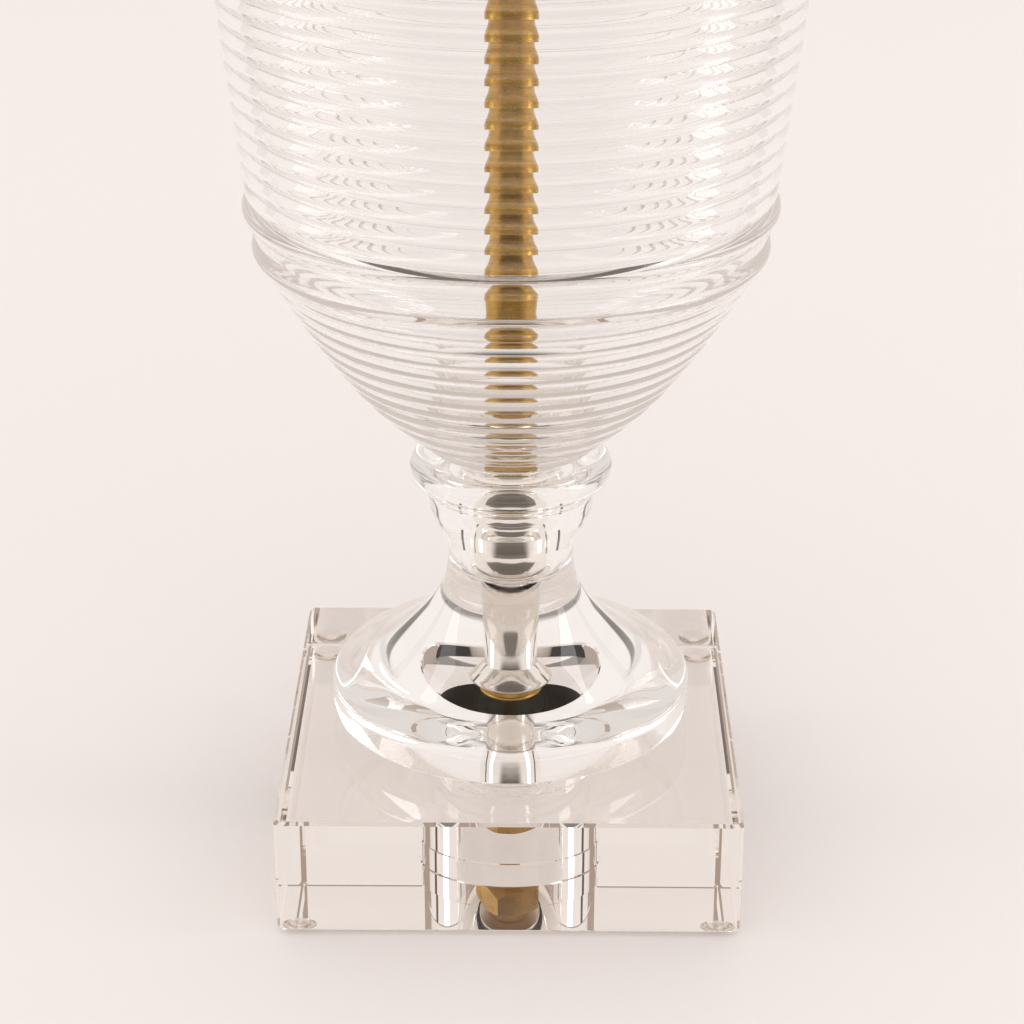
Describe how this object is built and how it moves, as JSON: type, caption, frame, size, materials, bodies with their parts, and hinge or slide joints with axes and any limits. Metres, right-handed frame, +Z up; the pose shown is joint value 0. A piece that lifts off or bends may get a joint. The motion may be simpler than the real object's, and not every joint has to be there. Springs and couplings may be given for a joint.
{
  "type": "table lamp",
  "caption": "Table lamp with a ribbed clear glass urn on a turned glass pedestal and square glass block, plated stem, brass fittings, harp and tapered fabric shade.",
  "frame": {"origin": "on the supporting surface, below the lamp's axis", "axes": "+Z up along the lamp's axis, -Y towards the front where the switch knob is, X along the harp's width"},
  "size_m": [0.4059, 0.406, 0.7511],
  "materials": {
    "block_glass": "polished clear",
    "pedestal_glass": "polished clear",
    "urn_glass": "blown, ribbed, clear",
    "pad": "clear, soft",
    "clear_seal": "clear, soft",
    "nickel": "polished",
    "antique_brass": "antique, satin",
    "pipe_brass": "threaded, plain",
    "brass": "satin",
    "steel": "zinc plated",
    "black_rubber": "matte",
    "bushing": "smooth",
    "phenolic": "smooth",
    "liner": "plain board",
    "thread_metal": "rolled thread",
    "bulb_glass": "frosted inside",
    "bulb_stem": "drawn glass and wire",
    "shade_fabric": "lined linen",
    "ring_metal": "satin"
  },
  "bodies": {
    "lamp": {"base_block": "block_glass", "pad_front_left": "pad", "pad_front_right": "pad", "pad_back_left": "pad", "pad_back_right": "pad", "pedestal": "pedestal_glass", "urn": "urn_glass", "urn_seal": "clear_seal", "stem_sleeve": "nickel", "stem_foot": "nickel", "foot_collar": "antique_brass", "lamp_pipe": "pipe_brass", "center_tube": "antique_brass", "base_gasket": "black_rubber", "base_washer": "steel", "base_spacer": "antique_brass", "base_nut": "antique_brass", "cap_gasket": "black_rubber", "urn_cap": "brass", "neck": "brass", "cord_bushing": "bushing", "harp_saddle": "brass", "lock_nut": "brass", "socket_cap": "brass", "socket_core": "phenolic", "socket_insulator": "liner", "socket_shell": "brass", "screw_shell": "thread_metal", "center_contact": "brass"},
    "switch": {"switch_shaft": "brass", "switch_knob": "phenolic"},
    "bulb": {"bulb_base": "thread_metal", "bulb_glass": "bulb_glass", "bulb_stem": "bulb_stem"},
    "harp": {"harp": "brass"},
    "harp_sleeve_left": {"harp_sleeve_left": "brass"},
    "harp_sleeve_right": {"harp_sleeve_right": "brass"},
    "shade": {"shade_skin": "shade_fabric", "shade_ring": "ring_metal", "shade_spider": "ring_metal"},
    "finial": {"finial": "brass"}
  },
  "joints": [
    {"name": "switch_turn", "type": "hinge", "parent": "lamp", "child": "switch", "pos_m": [0, -0.03, 0.5102], "axis": [0, -1, 0], "continuous": true},
    {"name": "bulb_turn", "type": "hinge", "parent": "lamp", "child": "bulb", "pos_m": [0, 0, 0.55], "axis": [0, 0, 1], "continuous": true},
    {"name": "harp_lift", "type": "slide", "parent": "lamp", "child": "harp", "axis": [0, 0, 1], "range_m": [0, 0.012]},
    {"name": "sleeve_left_slide", "type": "slide", "parent": "harp", "child": "harp_sleeve_left", "axis": [0, 0, 1], "range_m": [0, 0.014]},
    {"name": "sleeve_right_slide", "type": "slide", "parent": "harp", "child": "harp_sleeve_right", "axis": [0, 0, 1], "range_m": [0, 0.014]},
    {"name": "shade_turn", "type": "hinge", "parent": "harp", "child": "shade", "pos_m": [0, 0, 0.714], "axis": [0, 0, 1], "continuous": true},
    {"name": "finial_turn", "type": "hinge", "parent": "harp", "child": "finial", "pos_m": [0, 0, 0.725], "axis": [0, 0, 1], "continuous": true}
  ]
}
